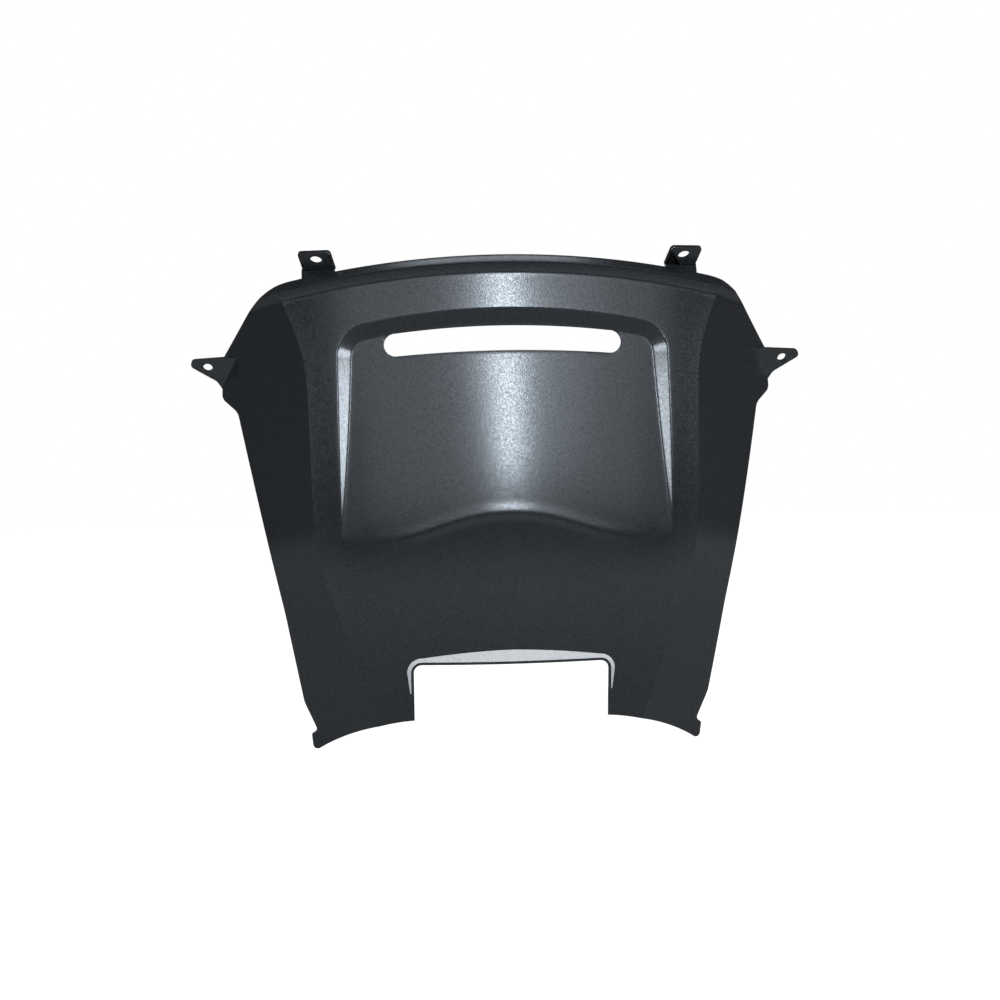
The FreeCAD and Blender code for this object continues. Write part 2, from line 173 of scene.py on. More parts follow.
# Fine rounds that the eye sees as thin light lines
RIDGE_SOFTNESS = 0.4          # blend of face and recess wall
RIDGE_BLEND = (2.7, 11.7)     # it gives way to the blend of the crest between these distances inward
FOOT_SOFTNESS = 0.6           # blend of recess wall and floor
CREST_SOFTNESS = 0.22         # blend of floor and lower face, on the centre line
CREST_SIDE_SOFTNESS = 1.1
CREST_BEAD = 0.45             # height of the faint bead along the crest
CREST_BEAD_WIDTH = 4.0
CREST_BEAD_REACH = 70.0       # it dies out this far from the centre line
BACK_SOFTNESS = 2.0           # blend of face and wing on the back of the wall
EDGE_ROUND = 0.6
BACK_EDGE_ROUND = 0.35
SHARP_ANGLE = 20.0            # edges above this are shaded as sharp
BEVEL_ANGLE = 1.0             # edges of a plate above this, in radians, are rounded

# Mesh spacing
COARSE = 3.0
FINE = 1.3
OUTLINE_STEP = 1.6
LONG_STEP = 40.0              # leaves straight stretches without points between their ends
SLOT_STEPS = 45
SLOT_END_STEP = 0.9
NOTCH_TOP_STEPS = 36
NOTCH_CORNER_STEPS = 9
NOTCH_SIDE_STEPS = 12
WALL_REACH = 13.0             # rows follow the recess walls this far in
WALL_STEP = 0.35
WALL_OUTSIDE = (-1.5, -0.8)   # the first rows lie on the face, outside the ridge
WALL_START = -0.4
WALL_MARGIN = 2.0
SLOT_MARGIN = 0.8             # those rows end this far from the slot
CREASE_MARGIN = 0.8
CREST_MARGIN = 9.0
STEP_GAP = 0.05               # width given to the upright step of the lip
COVE_ROWS = (-9.0, -7.8, -6.6, -5.4, -4.2, -3.0, -2.0, -1.0, -0.3)
LIP_ROWS = (0.2, 0.4, EDGE_ROUND, 1.5)
COVE_MARGIN = 1.8             # the grid ends this far below the cove
EDGE_ROWS = (0.2, EDGE_ROUND)
LEAST_GAP = 0.15              # between a row and a fixed line
GRID_GAP = 0.45               # between the grid and the rows, as a share of its spacing
GRID_HALF_WIDTH = 180.0
GRID_HALF_HEIGHT = 160.0
ARCH_HALF_WIDTH = 178.0
ARCH_STEPS = 260
CREASE_HALF_HEIGHT = 158.0
CREASE_GAP = 0.4              # the crease ends this far below the step of the lip

# Drills for the holes
TAB_DRILL = 18.0
EAR_DRILL = 30.0
EAR_DRILL_LEAD = 8.0

# Where the front of the notch's lip, painted paler in place of the light falling on it, is looked for,
# round the notch and ahead of the wall
RIM_BESIDE = 6.0
RIM_ABOVE = 12.0
RIM_AHEAD = 0.03
RIM_TURN = 0.1
RIM_FACING = 0.2

# Plastic: colours, and noise scales per metre
PLASTIC_DARK = (0.003, 0.0035, 0.0043, 1.0)
PLASTIC_LIGHT = (0.006, 0.007, 0.0086, 1.0)
PLASTIC_MOTTLE = 420.0
SHEEN_TINT = (0.8, 0.9, 1.0, 1.0)
SHEEN = (0.68, 1.04)
SHEEN_SCALE = 950.0
ROUGHNESS = (0.19, 0.25)
ROUGHNESS_SCALE = 700.0
GRAIN_SCALE = 1050.0
GRAIN_STRENGTH = 0.34
GRAIN_HEIGHT = 0.0001
# Rim colours are painted light: the paler front of the notch's lip stands in for the light falling on it
RIM_DARK = (0.29, 0.31, 0.33, 1.0)
RIM_LIGHT = (0.54, 0.57, 0.6, 1.0)
RIM_ROUGHNESS = 0.55
RIM_SPECKLE = 800.0

# Studio
FLOOR_GREY = (0.45, 0.45, 0.45, 1.0)
FLOOR_GLOW = 0.97
FLOOR_SIZE = 6.0
WORLD_LEVEL = 0.14

# View of the photograph: where the camera stands round the middle of the panel, in degrees and metres
TARGET = Vector((0.0, 0.0, -0.153))
CAMERA_AZIMUTH = -3.94
CAMERA_ELEVATION = 2.36
CAMERA_ROLL = 1.18
CAMERA_DISTANCE = 1.2
LENS = 70.0
SHIFT = (-0.0061, 0.0056)


def eased(d, ease):
    return 0.5 * (d + np.sqrt(d * d + ease * ease))


def soft_max(a, b, softness):
    return 0.5 * (a + b + np.sqrt((a - b) ** 2 + softness**2))


def soft_min(a, b, softness):
    return 0.5 * (a + b - np.sqrt((a - b) ** 2 + softness**2))


def face_half_width(z):
    wider = FACE_WIDEN * eased(z - FACE_WIDEN_Z, FACE_EASE)
    narrower = FACE_NARROW * eased(FACE_NARROW_Z - z, FACE_EASE)
    return FACE_HALF_WIDTH + wider - narrower


def crown_y(z):
    return PROFILE_RADIUS - np.sqrt(PROFILE_RADIUS**2 - (z - PROFILE_CENTRE_Z) ** 2)


def outer_y(x, z, inset=0.0):
    """Depth of the outer form: crowned face, bend and wing; inset gives the back of the wall."""
    x = np.abs(x)
    lean = np.arcsin(face_half_width(z) / CROWN_RADIUS)
    wing = np.radians(WING_ANGLE + WING_TWIST * z)
    crown = crown_y(z) + CROWN_RADIUS
    inner = CROWN_RADIUS - WING_BEND_RADIUS
    radius = WING_BEND_RADIUS - inset
    bend_x = inner * np.sin(lean)
    bend_y = crown - inner * np.cos(lean)
    wing_start = bend_x + radius * np.sin(wing)
    face = crown - np.sqrt((CROWN_RADIUS - inset) ** 2 - x**2)
    flat = bend_y - radius * np.cos(wing) + (x - wing_start) * np.tan(wing)
    return soft_max(face, flat, BACK_SOFTNESS if inset else 0.0)


def crease_x(z):
    """Where the face and the wing would meet without a bend."""
    lean = np.arcsin(face_half_width(z) / CROWN_RADIUS)
    wing = np.radians(WING_ANGLE + WING_TWIST * z)
    return face_half_width(z) + WING_BEND_RADIUS * np.tan((wing - lean) / 2) * np.cos(lean)


def crest_z(x):
    return CREST_Z - CREST_DROP * (1.0 - np.exp(-(np.abs(x / CREST_SPREAD) ** CREST_POWER)))


def floor_depth(x, z):
    """Depth of the recess floor below the face; it crosses the face along the arched crest."""
    side = (x / RIDGE_HALF_WIDTH) ** 2
    slope = CREST_SLOPE + (CREST_SIDE_SLOPE - CREST_SLOPE) * side
    rise = z - crest_z(x)
    full = RECESS_FOOT_Z - crest_z(x)
    bow = (RECESS_DEPTH - slope * full) / full**2
    return slope * rise + bow * np.maximum(rise, 0.0) ** 2


def face_y(x, z):
    """Depth of the face, carried on past its bends."""
    return crown_y(z) + CROWN_RADIUS - np.sqrt(CROWN_RADIUS**2 - x**2)


def inside_recess(x, z):
    """Distance inward from the ridge of the recess in the front view, negative outside it."""
    x = np.abs(x)
    corner_x = RIDGE_HALF_WIDTH - RIDGE_CORNER_RADIUS
    span = RIDGE_ARCH_RADIUS - RIDGE_CORNER_RADIUS
    arch_z = RIDGE_TOP_Z - RIDGE_ARCH_RADIUS
    corner_z = arch_z + math.sqrt(span**2 - corner_x**2)
    turn = math.asin(corner_x / span)
    angle = np.arctan2(x - corner_x, z - corner_z)
    side = RIDGE_HALF_WIDTH - x
    corner = RIDGE_CORNER_RADIUS - np.hypot(x - corner_x, z - corner_z)
    arch = RIDGE_ARCH_RADIUS - np.hypot(x, z - arch_z)
    on_corner = (angle >= turn) & (angle <= math.pi / 2)
    return np.where(on_corner, corner, np.where(z > corner_z, arch, np.minimum(side, arch)))


def skin_y(x, z, inset=0.0):
    """Depth of the front of the moulded skin, or of its back where inset is the wall."""
    inside = inside_recess(x, z)
    face = face_y(x, z)
    wall = face + RECESS_SLOPE * inside + inset * math.hypot(1.0, RECESS_SLOPE)
    floor = face + floor_depth(x, z) + inset
    dish = soft_min(wall, floor, FOOT_SOFTNESS)
    crest = CREST_SOFTNESS + (CREST_SIDE_SOFTNESS - CREST_SOFTNESS) * (x / RIDGE_HALF_WIDTH) ** 2
    first, last = RIDGE_BLEND
    by_ridge = np.clip((last - inside) / (last - first), 0.0, 1.0)
    softness = crest + (RIDGE_SOFTNESS - crest) * by_ridge
    y = soft_max(outer_y(x, z, inset), dish, softness)
    if not inset:
        swell = np.exp(-(((z - crest_z(x)) / CREST_BEAD_WIDTH) ** 2) - (x / CREST_BEAD_REACH) ** 4)
        y = y - CREST_BEAD * swell
    radius = np.hypot(x, z - TOP_Z + TOP_ARCH_RADIUS)
    over = radius - (TOP_ARCH_RADIUS - LIP_HEIGHT + inset)
    share = np.clip(1.0 + over / LIP_COVE_HEIGHT, 0.0, 1.0)
    under_lip = y - LIP_COVE_SHARE * LIP_STEP * share**2
    on_lip = y - LIP_STEP + LIP_LEAN * over + (0.0 if inset else rounded_off(over, EDGE_ROUND))
    return np.where(over > -STEP_GAP / 2, on_lip, under_lip)


def rounded_off(distance, radius):
    """How far a rounded edge falls back at a distance from it."""
    short = np.clip(radius - distance, 0.0, radius)
    return radius - np.sqrt(radius**2 - short**2)


def between(a, b, spacing):
    """Points from a up to but not including b."""
    count = max(1, math.ceil(math.hypot(b[0] - a[0], b[1] - a[1]) / spacing))
    return [(a[0] + (b[0] - a[0]) * i / count, a[1] + (b[1] - a[1]) * i / count) for i in range(count)]


def round_arc(centre, radius, first, last, spacing):
    """Points on an arc, angles in radians from +X towards +Z, without its last point."""
    count = max(3, math.ceil(abs(last - first) * radius / spacing), math.ceil(abs(last - first) / 0.2))
    angles = [first + (last - first) * i / count for i in range(count)]
    return [(centre[0] + radius * math.cos(t), centre[1] + radius * math.sin(t)) for t in angles]


def angle_at(centre, point):
    return math.atan2(point[1] - centre[1], point[0] - centre[0])


def rounded_run(corners, spacing):
    """Points along a run of corners (x, z, radius), each rounded, without the last corner."""
    points = []
    start = Vector(corners[0][:2])
    for before, corner, after in zip(corners, corners[1:], corners[2:]):
        here = Vector(corner[:2])
        back = (Vector(before[:2]) - here).normalized()
        on = (Vector(after[:2]) - here).normalized()
        half = back.angle(on) / 2
        reach = corner[2] / math.tan(half)
        centre = here + (back + on).normalized() * (corner[2] / math.sin(half))
        first = angle_at(centre, here + back * reach)
        turn = (angle_at(centre, here + on * reach) - first + math.pi) % (2 * math.pi) - math.pi
        points += between(start, here + back * reach, spacing)
        points += round_arc(centre, corner[2], first, first + turn, spacing)
        start = here + on * reach
    return points + between(start, corners[-1][:2], spacing)


def circle_through(a, b, c):
    """Centre and radius of the circle through three points."""
    m = np.array([[b[0] - a[0], b[1] - a[1]], [c[0] - a[0], c[1] - a[1]]]) * 2.0
    squares = [p[0] ** 2 + p[1] ** 2 for p in (a, b, c)]
    centre = np.linalg.solve(m, [squares[1] - squares[0], squares[2] - squares[0]])
    return tuple(centre), math.hypot(a[0] - centre[0], a[1] - centre[1])


def notch_stations():
    """Right half of the notch edge from its middle: point, outward direction, lip width, cut-back."""
    flat = NOTCH_HALF_WIDTH - NOTCH_CORNER_RADIUS
    corner_z = NOTCH_TOP_Z - NOTCH_CORNER_RADIUS
    stations = []
    for share in np.linspace(0.0, 1.0, NOTCH_TOP_STEPS):
        width = NOTCH_LIP_SIDE + (NOTCH_LIP_MIDDLE - NOTCH_LIP_SIDE) * (1 - share**NOTCH_LIP_POWER)
        stations.append(((flat * share, NOTCH_TOP_Z), (0.0, 1.0), width, 1.0))
    for turn in np.linspace(0.0, math.pi / 2, NOTCH_CORNER_STEPS)[1:-1]:
        out = (math.sin(turn), math.cos(turn))
        point = (flat + NOTCH_CORNER_RADIUS * out[0], corner_z + NOTCH_CORNER_RADIUS * out[1])
        stations.append((point, out, NOTCH_LIP_SIDE, 1.0))
    for share in np.linspace(0.0, 1.0, NOTCH_SIDE_STEPS):
        z = corner_z + share * (NOTCH_LIP_END_Z - corner_z)
        width = NOTCH_LIP_SIDE + share * (NOTCH_LIP_END - NOTCH_LIP_SIDE)
        stations.append(((NOTCH_HALF_WIDTH, z), (1.0, 0.0), width, 1.0 - share))
    return stations


def notch_edge():
    """Right half of the opening in the wall, from the end of the lip up to its middle."""
    slant = NOTCH_LIP_WALL / math.sqrt(2)
    points = []
    for point, out, width, cut in notch_stations():
        back = (slant + NOTCH_CUT_BACK * width) * cut
        points.append((point[0] + out[0] * back, point[1] + out[1] * back))
    return points[::-1]


def right_outline():
    """Right half of the outer outline, from the middle of the top edge round to that of the notch."""
    arch = Vector((0.0, TOP_Z - TOP_ARCH_RADIUS))
    upper = Vector(SIDE_UPPER)
    down = (Vector(SIDE_LOWER) - upper).normalized()
    inward = Vector((down.y, -down.x))
    offset = upper + inward * SHOULDER_RADIUS - arch
    along = offset.dot(down)
    span = TOP_ARCH_RADIUS - SHOULDER_RADIUS
    travel = -along - math.sqrt(along**2 - offset.dot(offset) + span**2)
    shoulder = arch + offset + down * travel
    on_side = shoulder - inward * SHOULDER_RADIUS

    def on_arch(x):
        return math.acos(x / TOP_ARCH_RADIUS)

    tab_in, tab_out = TAB_X - TAB_WIDTH / 2, TAB_X + TAB_WIDTH / 2
    shoulder_turn = angle_at(arch, shoulder)
    points = round_arc(arch, TOP_ARCH_RADIUS, math.pi / 2, on_arch(tab_in), OUTLINE_STEP)
    inner = arch + Vector((tab_in, math.sqrt(TOP_ARCH_RADIUS**2 - tab_in**2)))
    outer = arch + Vector((tab_out, math.sqrt(TOP_ARCH_RADIUS**2 - tab_out**2)))
    points += between(inner, (tab_in, TAB_BEND_Z), OUTLINE_STEP)
    points += between((tab_in, TAB_BEND_Z), (tab_out, TAB_BEND_Z), OUTLINE_STEP)
    points += between((tab_out, TAB_BEND_Z), outer, OUTLINE_STEP)
    points += round_arc(arch, TOP_ARCH_RADIUS, on_arch(tab_out), shoulder_turn, OUTLINE_STEP)
    points += round_arc(shoulder, SHOULDER_RADIUS, shoulder_turn, angle_at(shoulder, on_side), OUTLINE_STEP)
    points += rounded_run([
        tuple(on_side),
        (*SIDE_LOWER, SIDE_LOWER_RADIUS),
        (*HIP, HIP_RADIUS),
        (*WAIST, WAIST_RADIUS),
        (*FLANK, FLANK_RADIUS),
        (*LOWER_CORNER, LOWER_CORNER_RADIUS),
        (*NECK, NECK_RADIUS),
        (*TOE_TOP, TOE_TOP_RADIUS),
        (*TOE_TIP, TOE_TIP_RADIUS),
        SKIRT_START,
    ], OUTLINE_STEP)
    centre, radius = circle_through(SKIRT_START, SKIRT_MIDDLE, SKIRT_END)
    meet = (NOTCH_HALF_WIDTH, centre[1] + math.sqrt(radius**2 - (NOTCH_HALF_WIDTH - centre[0]) ** 2))
    points += round_arc(centre, radius, angle_at(centre, SKIRT_START), angle_at(centre, meet), OUTLINE_STEP)
    points += between(meet, (NOTCH_HALF_WIDTH, NOTCH_LIP_END_Z), OUTLINE_STEP)
    return points + notch_edge()


def slot_loop():
    """Outline of the slot."""
    def arc_z(x, top, radius):
        return top - radius + math.sqrt(radius**2 - x**2)

    near = SLOT_HALF_WIDTH - SLOT_END_RADIUS
    high = (near, arc_z(near, SLOT_TOP_Z, SLOT_TOP_RADIUS))
    low = (near, arc_z(near, SLOT_BOTTOM_Z, SLOT_BOTTOM_RADIUS))
    tip = (SLOT_HALF_WIDTH, (high[1] + low[1]) / 2)
    centre, radius = circle_through(high, tip, low)
    xs = np.linspace(0.0, near, SLOT_STEPS)[:-1]
    right = [(x, arc_z(x, SLOT_TOP_Z, SLOT_TOP_RADIUS)) for x in xs]
    right += round_arc(centre, radius, angle_at(centre, high), angle_at(centre, low), SLOT_END_STEP)
    right += [low] + [(x, arc_z(x, SLOT_BOTTOM_Z, SLOT_BOTTOM_RADIUS)) for x in xs[::-1]]
    return right + [(-x, z) for x, z in right[-2:0:-1]]


def offset_loop(loop, distance):
    """Loop moved to its right-hand side as it is walked."""
    p = np.array(loop)
    run = np.roll(p, -1, 0) - np.roll(p, 1, 0)
    run /= np.linalg.norm(run, axis=1)[:, None]
    return p + distance * np.stack([run[:, 1], -run[:, 0]], 1)


def within(points, loop):
    """Which points lie inside a closed loop."""
    p = np.array(loop)
    q = np.roll(p, -1, 0)
    inside = np.zeros(len(points), bool)
    for (x0, z0), (x1, z1) in zip(p, q):
        crosses = (z0 > points[:, 1]) != (z1 > points[:, 1])
        if z0 != z1:
            inside ^= crosses & (points[:, 0] < x0 + (points[:, 1] - z0) * (x1 - x0) / (z1 - z0))
    return inside


def hex_grid(spacing):
    rows = []
    height = spacing * math.sqrt(0.75)
    for i, z in enumerate(np.arange(-GRID_HALF_HEIGHT, GRID_HALF_HEIGHT, height)):
        xs = np.arange(-GRID_HALF_WIDTH, GRID_HALF_WIDTH, spacing) + (i % 2) * spacing / 2
        rows.append(np.stack([xs, np.full(len(xs), z)], 1))
    return np.concatenate(rows)


def in_rows(points):
    """Where rows of points follow the form: recess walls and the crease between face and wing."""
    x, z = points[:, 0], points[:, 1]
    inside = inside_recess(x, z)
    wall = (inside > -WALL_MARGIN) & (inside < WALL_REACH) & (z > RIDGE_LOWEST_Z)
    return wall | (np.abs(np.abs(x) - crease_x(z)) < CREASE_MARGIN)


def needs_detail(points):
    """Where the floor of the recess turns over the crest."""
    x, z = points[:, 0], points[:, 1]
    return (np.abs(z - crest_z(x)) < CREST_MARGIN) & (inside_recess(x, z) > 0.0)


def ridge_row(inward):
    """Points along the recess wall at one distance inward from its ridge."""
    corner_x = RIDGE_HALF_WIDTH - RIDGE_CORNER_RADIUS
    span = RIDGE_ARCH_RADIUS - RIDGE_CORNER_RADIUS
    arch_z = RIDGE_TOP_Z - RIDGE_ARCH_RADIUS
    corner_z = arch_z + math.sqrt(span**2 - corner_x**2)
    turn = math.acos(corner_x / span)
    side_x = RIDGE_HALF_WIDTH - inward
    right = between((side_x, RIDGE_LOWEST_Z), (side_x, corner_z), FINE)
    right += round_arc((corner_x, corner_z), RIDGE_CORNER_RADIUS - inward, 0.0, turn, FINE)
    right += round_arc((0.0, arch_z), RIDGE_ARCH_RADIUS - inward, turn, math.pi / 2, FINE)
    return right + [(0.0, RIDGE_TOP_Z - inward)] + [(-x, z) for x, z in right]


def crease_row(hand, highest):
    """Points along one crease, up to a distance from the centre of the top edge's arc."""
    z = np.arange(-CREASE_HALF_HEIGHT, CREASE_HALF_HEIGHT, FINE)
    row = np.stack([hand * crease_x(z), z], 1)
    return row[arch_radius(row) < highest]


def arch_radius(points):
    """Distance of points from the centre of the top edge's arc."""
    return np.hypot(points[:, 0], points[:, 1] - TOP_Z + TOP_ARCH_RADIUS)


def arch_row(radius):
    """Points on an arc that shares its centre with the top edge."""
    reach = math.asin(ARCH_HALF_WIDTH / radius)
    return [(radius * math.sin(t), TOP_Z - TOP_ARCH_RADIUS + radius * math.cos(t))
            for t in np.linspace(-reach, reach, ARCH_STEPS)]


def plan_mesh():
    """Triangles of the front view and, for each point, its distance from an edge where it is near one."""
    right = right_outline()
    outline = right + [(-x, z) for x, z in right[-2:0:-1]]
    slot = slot_loop()
    lip = TOP_ARCH_RADIUS - LIP_HEIGHT
    lowered = lip - LIP_COVE_HEIGHT - COVE_MARGIN
    steps = [arch_row(lip + offset) for offset in (-STEP_GAP, 0.0, WALL - STEP_GAP, WALL)]
    steps += [crease_row(hand, lip - CREASE_GAP).tolist() for hand in (-1, 1)]
    points, edges, near_edge = [], [], []
    for loop in (outline, slot):
        first = len(points)
        points += loop
        edges += [(first + i, first + (i + 1) % len(loop)) for i in range(len(loop))]
        near_edge += [0.0] * len(loop)
    for row in steps:
        first = len(points)
        points += row
        edges += [(first + i, first + i + 1) for i in range(len(row) - 1)]
        near_edge += [EDGE_ROUND] * len(row)
    fixed = np.array(points)
    extra, distances = [], []
    for distance in EDGE_ROWS:
        for loop in (outline, slot[::-1]):
            row = offset_loop(loop, distance)
            extra.append(row)
            distances += [distance] * len(row)
    for offset in COVE_ROWS + LIP_ROWS:
        row = np.array(arch_row(lip + offset))
        extra.append(row)
        distances += [EDGE_ROUND] * len(row)
    inwards = (*WALL_OUTSIDE, *np.arange(WALL_START, WALL_REACH, WALL_STEP))
    rows = np.concatenate([ridge_row(inward) for inward in inwards])
    rows = rows[(arch_radius(rows) < lowered) & ~within(rows, offset_loop(slot[::-1], SLOT_MARGIN))]
    extra.append(rows)
    distances += [EDGE_ROUND] * len(rows)
    fine, coarse = hex_grid(FINE), hex_grid(COARSE)
    fine, coarse = fine[needs_detail(fine)], coarse[~needs_detail(coarse)]
    over = np.concatenate([fine, coarse])
    over = over[(arch_radius(over) < lowered) & ~in_rows(over)]
    spacing = np.where(needs_detail(over), FINE, COARSE)
    extra, distances = np.concatenate(extra), np.array(distances)
    kept = within(extra, outline) & ~within(extra, slot)
    extra, distances = spaced(extra[kept], np.full(kept.sum(), LEAST_GAP), fixed, distances[kept])
    inside = within(over, outline) & ~within(over, slot)
    rim = np.concatenate([fixed, extra])
    over, far = spaced(over[inside], GRID_GAP * spacing[inside], rim, np.full(inside.sum(), EDGE_ROUND))
    everything = np.concatenate([fixed, extra, over])
    near_edge = np.concatenate([near_edge, distances, far])
    found = delaunay_2d_cdt([Vector(p) for p in everything], edges, [], 0, 1e-6, True)
    plan = np.array([tuple(v) for v in found[0]])
    triangles = np.array([t for t in found[2] if len(t) == 3])
    middles = plan[triangles].mean(1)
    triangles = triangles[within(middles, outline) & ~within(middles, slot)]
    distance = np.array([max(near_edge[i] for i in ids) if ids else 0.0 for ids in found[3]])
    return plan, triangles, distance


def spaced(points, least, others, values):
    """Points, with their values, that lie further than least from the others."""
    tree = KDTree(len(others))
    for i, p in enumerate(others):
        tree.insert((p[0], p[1], 0.0), i)
    tree.balance()
    far = np.array([tree.find((p[0], p[1], 0.0))[2] > d for p, d in zip(points, least)], bool)
    return points[far], values[far]


def skin_mesh():
    """Front and back of the skin over the same plan, joined along every edge."""
    plan, triangles, distance = plan_mesh()
    used = np.unique(triangles)
    renumbered = np.zeros(len(plan), int)
    renumbered[used] = np.arange(len(used))
    plan, distance, triangles = plan[used], distance[used], renumbered[triangles]
    a, b, c = (plan[triangles[:, i]] for i in range(3))
    turned = (b - a)[:, 0] * (c - a)[:, 1] - (b - a)[:, 1] * (c - a)[:, 0] < 0
    triangles[turned] = triangles[turned][:, ::-1]
    x, z = plan[:, 0], plan[:, 1]
    front = np.stack([x, skin_y(x, z) + rounded_off(distance, EDGE_ROUND), z], 1)
    back = np.stack([x, skin_y(x, z, WALL) - rounded_off(distance, BACK_EDGE_ROUND), z], 1)
    count = len(plan)
    sides = {}
    for t in triangles:
        for i in range(3):
            sides[(t[i], t[(i + 1) % 3])] = True
    rims = [(b, a, a + count, b + count) for a, b in sides if (b, a) not in sides]
    faces = [tuple(t) for t in triangles]
    faces += [(t[2] + count, t[1] + count, t[0] + count) for t in triangles]
    return np.concatenate([front, back]), faces + rims


def tab_frame(hand):
    """Bend point of one tab with its directions along the bend, up the tab and out of its underside."""
    plan = math.asin(TAB_X / CROWN_RADIUS)
    tilt = math.radians(TAB_TILT)
    bend = Vector((hand * TAB_X, float(outer_y(TAB_X, TAB_BEND_Z)) - LIP_STEP, TAB_BEND_Z))
    along = Vector((hand * math.cos(plan), math.sin(plan), 0.0))
    forward = Vector((hand * math.sin(plan), -math.cos(plan), 0.0))
    rise = forward * math.sin(tilt) + Vector((0.0, 0.0, math.cos(tilt)))
    under = forward * math.cos(tilt) - Vector((0.0, 0.0, math.sin(tilt)))
    return bend, along, rise, under


def tab_hole_centre(hand):
    bend, along, rise, under = tab_frame(hand)
    return bend + rise * TAB_HOLE_FROM_BEND - under * (WALL / 2)


ORIGIN = (tab_hole_centre(-1) + tab_hole_centre(1)) / 2


def add_object(name, points, faces):
    """Mesh object from points in the drawing's millimetres."""
    mesh = bpy.data.meshes.new(name)
    corners = [(Vector(p) - ORIGIN) * MM for p in points]
    mesh.from_pydata(corners, [], [tuple(int(i) for i in f) for f in faces])
    mesh.validate()
    made = bpy.data.objects.new(name, mesh)
    bpy.context.scene.collection.objects.link(made)
    return made


def plate(name, outline, place, thickness, rounding):
    """Flat plate with rounded edges: an outline placed in space and thickened along a vector."""
    shape = bmesh.new()
    face = shape.faces.new([shape.verts.new((place(a, u) - ORIGIN) * MM) for a, u in outline])
    grown = bmesh.ops.extrude_face_region(shape, geom=[face])
    moved = [v for v in grown["geom"] if isinstance(v, bmesh.types.BMVert)]
    bmesh.ops.translate(shape, verts=moved, vec=thickness * MM)
    bmesh.ops.recalc_face_normals(shape, faces=shape.faces)
    flats = [f for f in shape.faces if len(f.verts) == len(outline)]
    around = {e for f in flats for e in f.edges}
    rims = [e for e in shape.edges if e in around and e.calc_face_angle() > BEVEL_ANGLE]
    bmesh.ops.bevel(shape, geom=rims, offset=rounding * MM, segments=2, profile=0.5, affect="EDGES")
    mesh = bpy.data.meshes.new(name)
    shape.to_mesh(mesh)
    shape.free()
    made = bpy.data.objects.new(name, mesh)
    bpy.context.scene.collection.objects.link(made)
    return made


def rod(name, start, axis, length, radius, sides=48):
    """Round bar from a point along an axis."""
    turn = Vector((0, 0, 1)).rotation_difference(axis)
    ring = [turn @ Vector((radius * math.cos(t), radius * math.sin(t), 0))
            for t in np.linspace(0, 2 * math.pi, sides, endpoint=False)]
    points = [start + p for p in ring] + [start + axis * length + p for p in ring]
    faces = [tuple(range(sides))[::-1], tuple(range(sides, 2 * sides))]
    faces += [(i, (i + 1) % sides, sides + (i + 1) % sides, sides + i) for i in range(sides)]
    return add_object(name, points, faces)


def tab(hand):
    bend, along, rise, under = tab_frame(hand)
    half = TAB_WIDTH / 2
    outline = rounded_run([
        (0.0, -TAB_ROOT),
        (half, -TAB_ROOT, TAB_ROOT_RADIUS),
        (half, TAB_LENGTH, TAB_END_RADIUS),
        (-half, TAB_LENGTH, TAB_END_RADIUS),
        (-half, -TAB_ROOT, TAB_ROOT_RADIUS),
        (0.0, -TAB_ROOT),
    ], LONG_STEP)
    return plate("tab", outline, lambda a, u: bend + along * a + rise * u, under * -WALL, TAB_EDGE_ROUND)


def tab_hole(hand):
    tilt = math.radians(TAB_TILT)
    axis = Vector((0.0, math.cos(tilt), math.sin(tilt)))
    start = tab_hole_centre(hand) - axis * (TAB_DRILL / 2)
    return rod("tab_hole", start, axis, TAB_DRILL, TAB_HOLE_DIAMETER / 2)


def ear_axis():
    tilt = math.radians(EAR_TILT)
    return Vector((0.0, math.cos(tilt), math.sin(tilt)))


def ear_point(hand, x, z):
    tilt = math.radians(EAR_TILT)
    up = Vector((0.0, -math.sin(tilt), math.cos(tilt)))
    return Vector((hand * x, EAR_FACE_Y, EAR_HOLE_Z)) + up * (z - EAR_HOLE_Z)


def ear(hand):
    outline = rounded_run([
        (EAR_ROOT_X, EAR_HOLE_Z),
        (EAR_ROOT_X, EAR_TOP[1] + EAR_TOP_SLOPE * (EAR_TOP[0] - EAR_ROOT_X), EAR_ROOT_RADIUS),
        (*EAR_TOP, EAR_TIP_RADIUS),
        (*EAR_TIP, EAR_TIP_RADIUS),
        (*EAR_LOW, EAR_LOW_RADIUS),
        (*EAR_HEEL, EAR_ROOT_RADIUS),
        (EAR_ROOT_X, EAR_HEEL[1], EAR_ROOT_RADIUS),
        (EAR_ROOT_X, EAR_HOLE_Z),
    ], LONG_STEP)
    thickness = ear_axis() * EAR_WALL
    flat = plate("ear", outline, lambda x, z: ear_point(hand, x, z), thickness, EAR_EDGE_ROUND)
    start = ear_point(hand, EAR_HOLE_X, EAR_HOLE_Z) + ear_axis() * EAR_BOSS_ROOT
    length = EAR_WALL + EAR_BOSS_LENGTH - EAR_BOSS_ROOT
    boss = rod("ear_boss", start, ear_axis(), length, EAR_BOSS_DIAMETER / 2)
    return [flat, boss]


def ear_hole(hand):
    start = ear_point(hand, EAR_HOLE_X, EAR_HOLE_Z) - ear_axis() * EAR_DRILL_LEAD
    return rod("ear_hole", start, ear_axis(), EAR_DRILL, EAR_HOLE_DIAMETER / 2)


